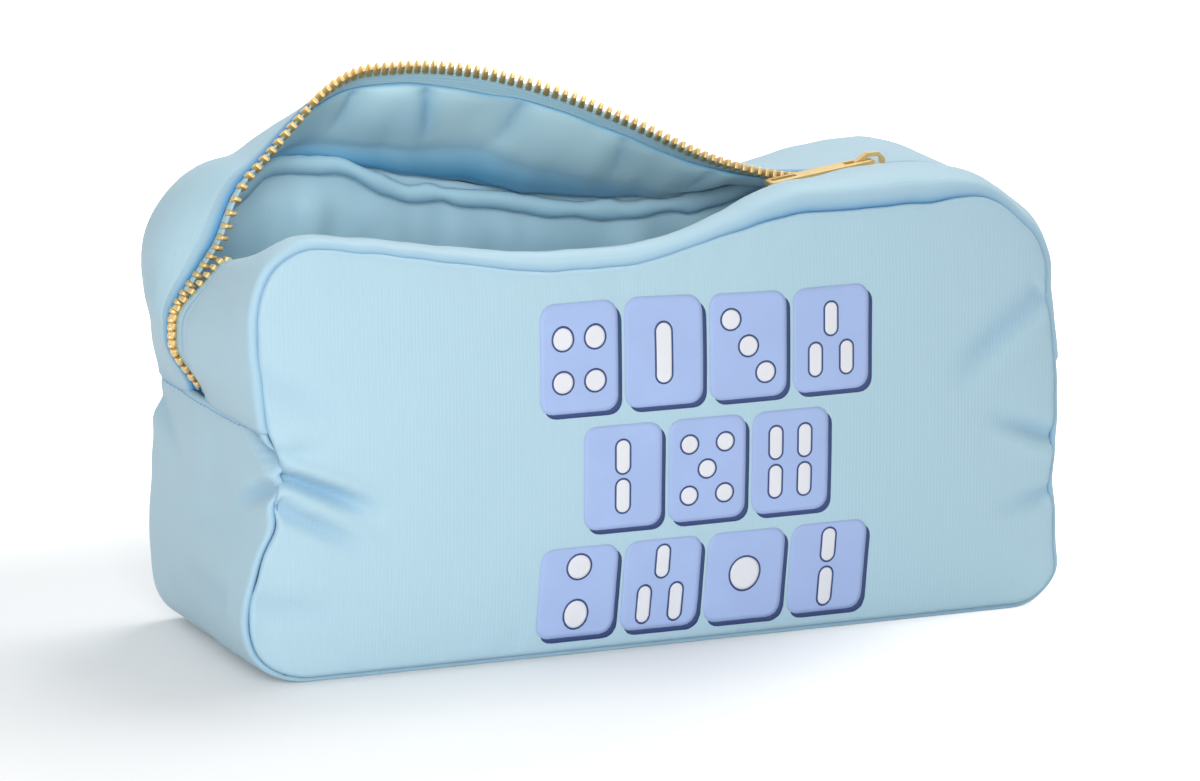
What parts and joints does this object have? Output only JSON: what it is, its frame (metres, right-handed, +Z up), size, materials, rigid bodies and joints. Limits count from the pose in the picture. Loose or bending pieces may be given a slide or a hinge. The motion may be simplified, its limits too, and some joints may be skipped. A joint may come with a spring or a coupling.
{
  "type": "zipped case",
  "caption": "Padded soft zip case for game tiles: two rounded panels, a gusset, two lips and a metal zip with a slider and a long pull.",
  "frame": {"origin": "middle of the base, where the case stands", "axes": "+X along the case's width, from the open end of the zip to the slider; +Y towards the back panel; +Z up"},
  "size_m": [0.2651, 0.0988, 0.1663],
  "materials": {
    "nylon": "ribbed light-blue nylon with a soft sheen",
    "satin": "smooth light-blue satin lining",
    "foam": "soft foam padding",
    "tape": "woven light-blue zip tape",
    "brass": "bright brass, lightly brushed"
  },
  "bodies": {
    "case": {"front_panel": "nylon", "back_panel": "nylon", "bottom_gusset": "nylon", "front_padding": "foam", "back_padding": "foam", "gusset_padding": "foam", "front_lining": "satin", "back_lining": "satin", "gusset_lining": "satin", "front_binding": "tape", "back_binding": "tape"},
    "back_lip": {"back_zip_strip": "nylon", "back_lip_lining": "satin", "back_zip_tape": "tape", "back_zip_teeth": "brass"},
    "front_lip": {"front_zip_strip": "nylon", "front_lip_lining": "satin", "front_zip_tape": "tape", "front_zip_teeth": "brass"},
    "slider": {"slider_body": "brass", "slider_bridge": "brass"},
    "pull": {"pull_tab": "brass"}
  },
  "joints": [
    {"name": "zip_slide", "type": "slide", "parent": "case", "child": "slider", "axis": [1, 0, 0], "range_m": [-0.173, 0]},
    {"name": "back_lip_fold", "type": "hinge", "parent": "case", "child": "back_lip", "pos_m": [0, 0.044, 0.13], "axis": [1, 0, 0], "range_deg": [0, 59], "deforming": ["back_zip_strip", "back_lip_lining", "back_zip_tape", "back_zip_teeth"]},
    {"name": "front_lip_fold", "type": "hinge", "parent": "case", "child": "front_lip", "pos_m": [0, -0.0372, 0.117], "axis": [1, 0, 0], "range_deg": [0, 95], "deforming": ["front_zip_strip", "front_lip_lining", "front_zip_tape", "front_zip_teeth"]},
    {"name": "pull_swing", "type": "hinge", "parent": "slider", "child": "pull", "pos_m": [0.084, 0, 0.1293], "axis": [0, 1, 0], "range_deg": [0, 175]}
  ],
  "couplings": [
    {"joint": "back_lip_fold", "follows": "zip_slide", "rad_per_m": -5.9523},
    {"joint": "front_lip_fold", "follows": "zip_slide", "rad_per_m": -9.5841}
  ]
}
